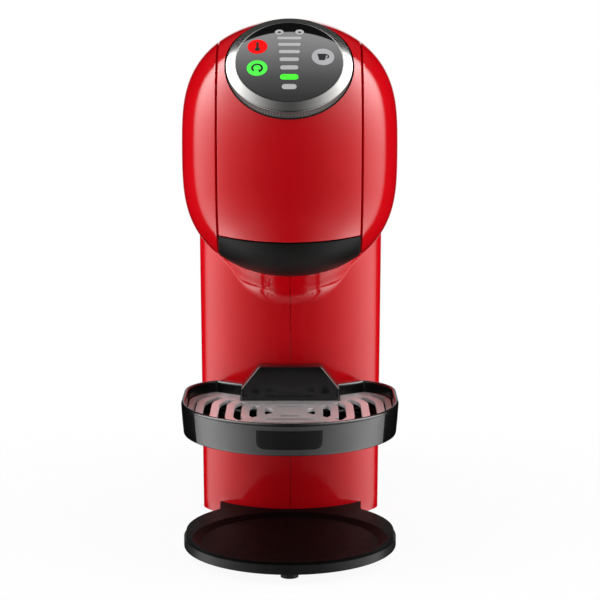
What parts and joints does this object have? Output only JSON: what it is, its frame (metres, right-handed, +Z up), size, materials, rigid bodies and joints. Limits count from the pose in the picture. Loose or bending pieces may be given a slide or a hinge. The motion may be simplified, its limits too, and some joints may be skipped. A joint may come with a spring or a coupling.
{
  "type": "pod coffee machine",
  "caption": "Compact upright pod coffee machine: rounded red head with lifting lock handle and tilted dial, sliding capsule holder, movable drip tray, lift-off rear water tank.",
  "frame": {"origin": "centre of the machine's plan box, on the surface it stands on", "axes": "+Z up, -Y towards the front with the dial, +X to the right as seen from the front"},
  "size_m": [0.112, 0.273, 0.2748],
  "materials": {
    "red_shell": "high gloss",
    "black_plastic": "fine satin grain",
    "black_gloss": "gloss",
    "display_glass": "gloss, tinted",
    "satin_metal": "satin, radially brushed",
    "grey_band": "satin",
    "steel": "polished",
    "rubber": "matt",
    "frame_plastic": "plain moulded",
    "magnet": "plated",
    "tank_clear": "clear, lightly tinted",
    "white_plastic": "plain moulded",
    "coil_iron": "laminated",
    "aluminium": "cast",
    "hose": "translucent silicone",
    "circuit_board": "solder mask"
  },
  "bodies": {
    "machine": {"left_shell": "red_shell", "right_shell": "red_shell", "rear_cover": "black_plastic", "base_chassis": "black_plastic", "base_deck": "black_plastic", "hinge_block": "black_plastic", "tank_shelf": "black_plastic", "cord_gland": "black_plastic", "rubber_feet": "rubber", "pump_mounts": "rubber", "left_frame": "frame_plastic", "right_frame": "frame_plastic", "holder_rails": "frame_plastic", "frame_bridge": "frame_plastic", "heater_ledge": "frame_plastic", "hinge_pin": "steel", "guide_rods": "steel", "base_screws": "steel", "rear_screws": "steel", "magnet_keeper": "steel", "inlet_spigot": "white_plastic", "flow_meter": "white_plastic", "board_spacers": "white_plastic", "pump_body": "white_plastic", "pump_coil": "coil_iron", "heater_block": "aluminium", "heating_element": "steel", "suction_hose": "hose", "supply_hose": "hose", "pressure_hose": "hose", "brew_hose": "hose", "main_board": "circuit_board"},
    "handle": {"handle_cover": "red_shell", "handle_arms": "black_plastic", "dial_gasket": "rubber", "display_housing": "black_plastic", "display_board": "circuit_board", "display_lens": "display_glass"},
    "dial": {"selector_ring": "satin_metal"},
    "injection": {"injection_plate": "frame_plastic", "piercing_needle": "steel", "injection_seal": "rubber"},
    "holder": {"capsule_holder": "black_plastic", "capsule_seat": "steel"},
    "tray": {"drip_tray": "black_gloss", "tray_band": "grey_band", "badge_plate": "black_gloss", "tray_magnets": "magnet"},
    "grid": {"drip_grid": "steel"},
    "tank": {"water_tank": "tank_clear", "tank_rim": "black_plastic", "lid_pin": "steel", "valve_body": "white_plastic", "valve_spring": "steel"},
    "lid": {"tank_lid": "black_plastic"},
    "valve": {"valve_plunger": "white_plastic"},
    "button": {"power_button": "black_plastic"}
  },
  "joints": [
    {"name": "handle_lift", "type": "hinge", "parent": "machine", "child": "handle", "pos_m": [0, 0.026, 0.2525], "axis": [-1, 0, 0], "range_deg": [0, 60]},
    {"name": "dial_turn", "type": "hinge", "parent": "handle", "child": "dial", "pos_m": [0, -0.0998, 0.2485], "axis": [0, -0.7071, 0.7071], "continuous": true},
    {"name": "injection_lift", "type": "slide", "parent": "machine", "child": "injection", "axis": [0, 0, 1], "range_m": [0, 0.014], "deforming": ["brew_hose"]},
    {"name": "holder_slide", "type": "slide", "parent": "machine", "child": "holder", "axis": [0, -1, 0], "range_m": [0, 0.085]},
    {"name": "tray_height", "type": "slide", "parent": "machine", "child": "tray", "axis": [0, 0, 1], "range_m": [-0.048, 0.018]},
    {"name": "grid_lift", "type": "slide", "parent": "tray", "child": "grid", "axis": [0, 0, 1], "range_m": [0, 0.03]},
    {"name": "tank_lift", "type": "slide", "parent": "machine", "child": "tank", "axis": [0, 0, 1], "range_m": [0, 0.2]},
    {"name": "lid_hinge", "type": "hinge", "parent": "tank", "child": "lid", "pos_m": [0, 0.118, 0.24215], "axis": [-1, 0, 0], "range_deg": [0, 88]},
    {"name": "valve_open", "type": "slide", "parent": "tank", "child": "valve", "axis": [0, 0, 1], "range_m": [0, 0.004], "stiffness_N_per_m": 80, "deforming": ["valve_spring"]},
    {"name": "power_press", "type": "slide", "parent": "machine", "child": "button", "axis": [0, -1, 0], "range_m": [0, 0.0015], "stiffness_N_per_m": 300}
  ],
  "couplings": [
    {"joint": "injection_lift", "follows": "handle_lift", "m_per_rad": 0.013356}
  ]
}
